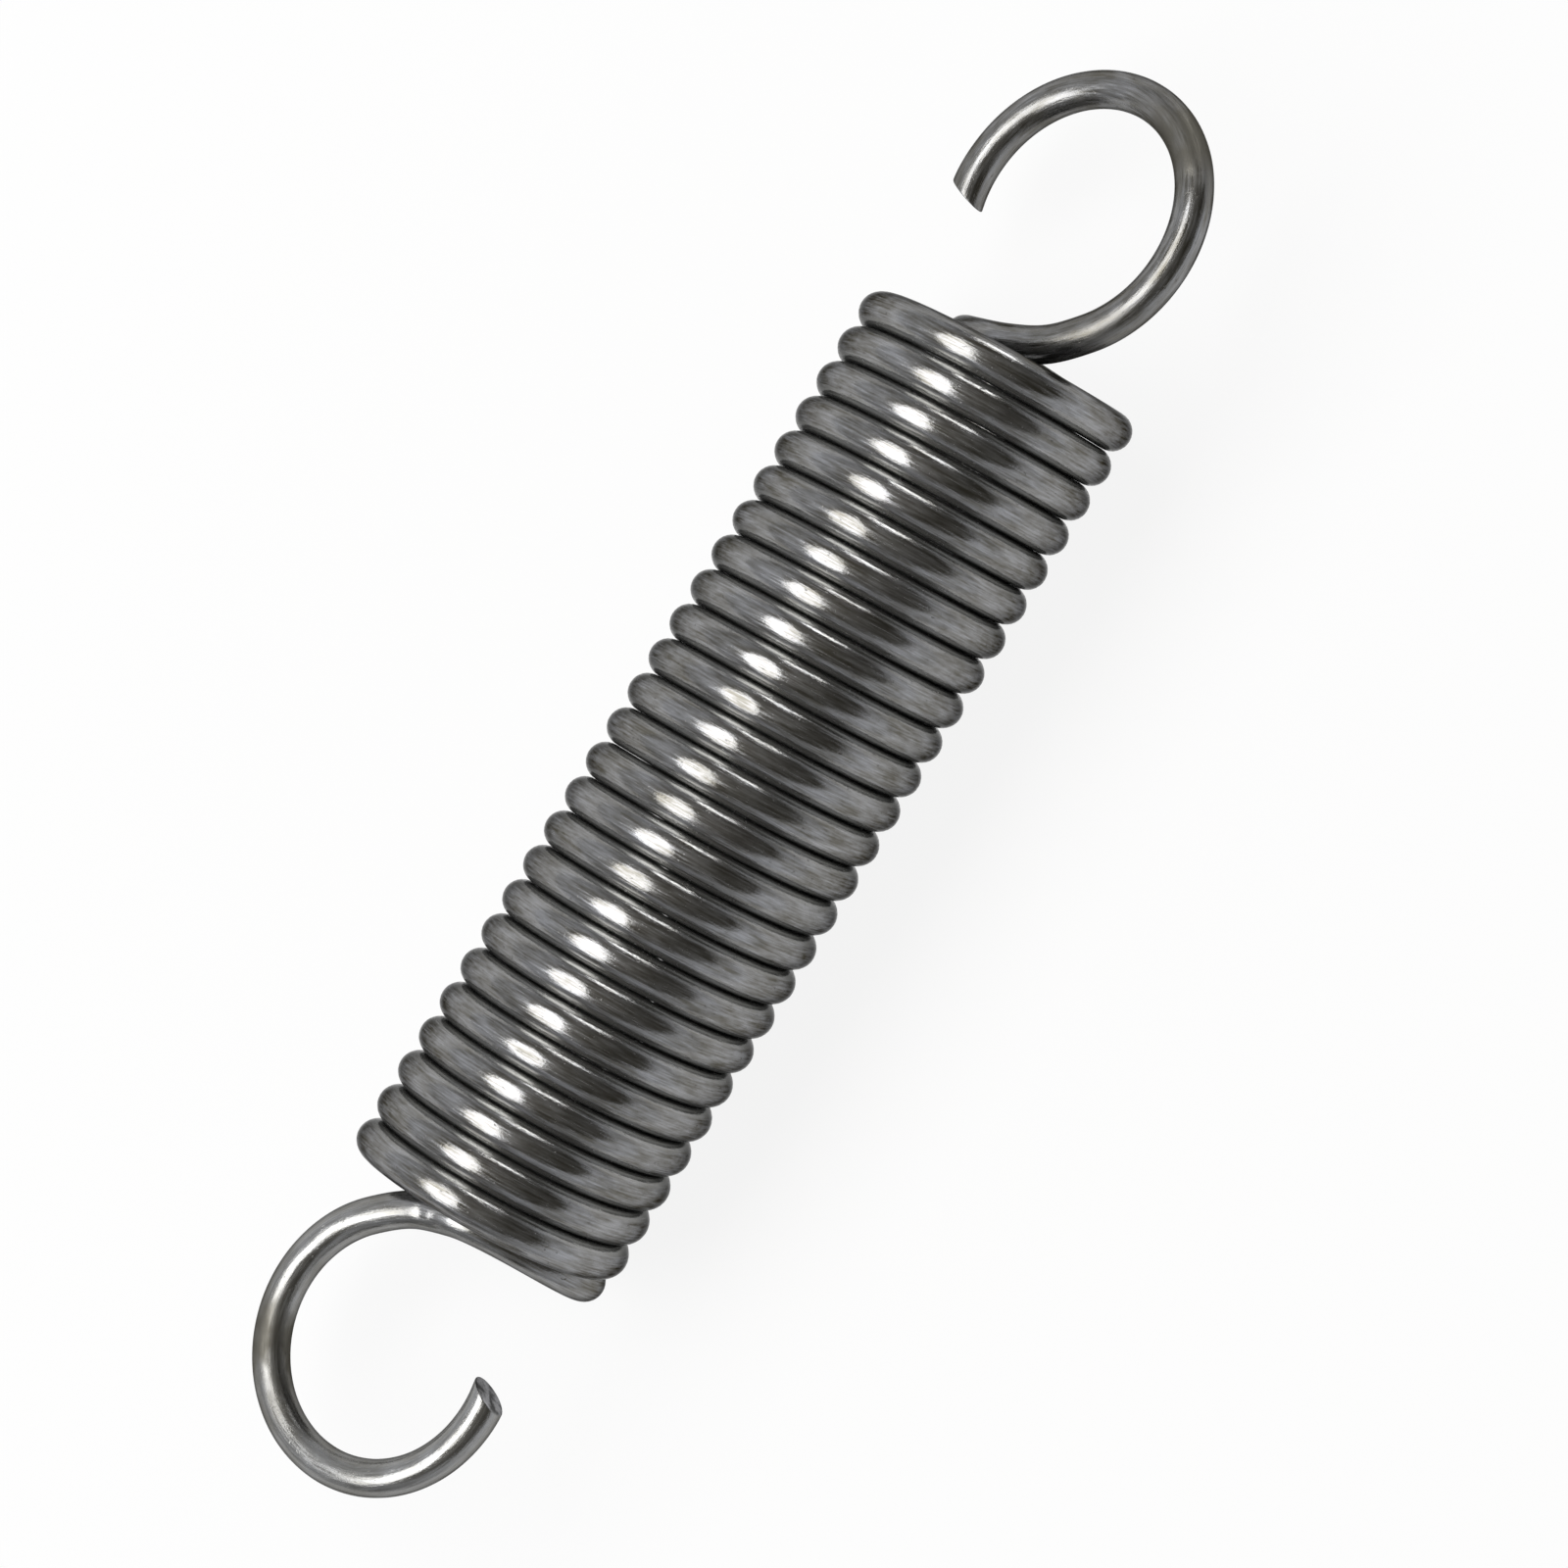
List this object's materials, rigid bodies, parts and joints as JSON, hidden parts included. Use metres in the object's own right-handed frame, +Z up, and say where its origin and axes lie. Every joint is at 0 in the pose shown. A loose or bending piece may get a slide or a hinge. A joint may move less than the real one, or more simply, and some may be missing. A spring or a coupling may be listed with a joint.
{
  "type": "extension spring",
  "caption": "Close-wound extension spring of round steel wire, with a full crossover hook at each end and the hooks open to opposite sides.",
  "frame": {"origin": "middle of the spring, on the surface that its coil lies on", "axes": "+X along the coil's axis towards the hook that is up in the picture, +Z up from the surface"},
  "size_m": [0.0648, 0.0122, 0.012],
  "materials": {
    "spring_wire": "polished hard-drawn spring steel, neutral grey with faint warm shadows, fine drawing marks along the wire and a few small pits"
  },
  "bodies": {
    "root": {"spring": "spring_wire"}
  },
  "joints": []
}
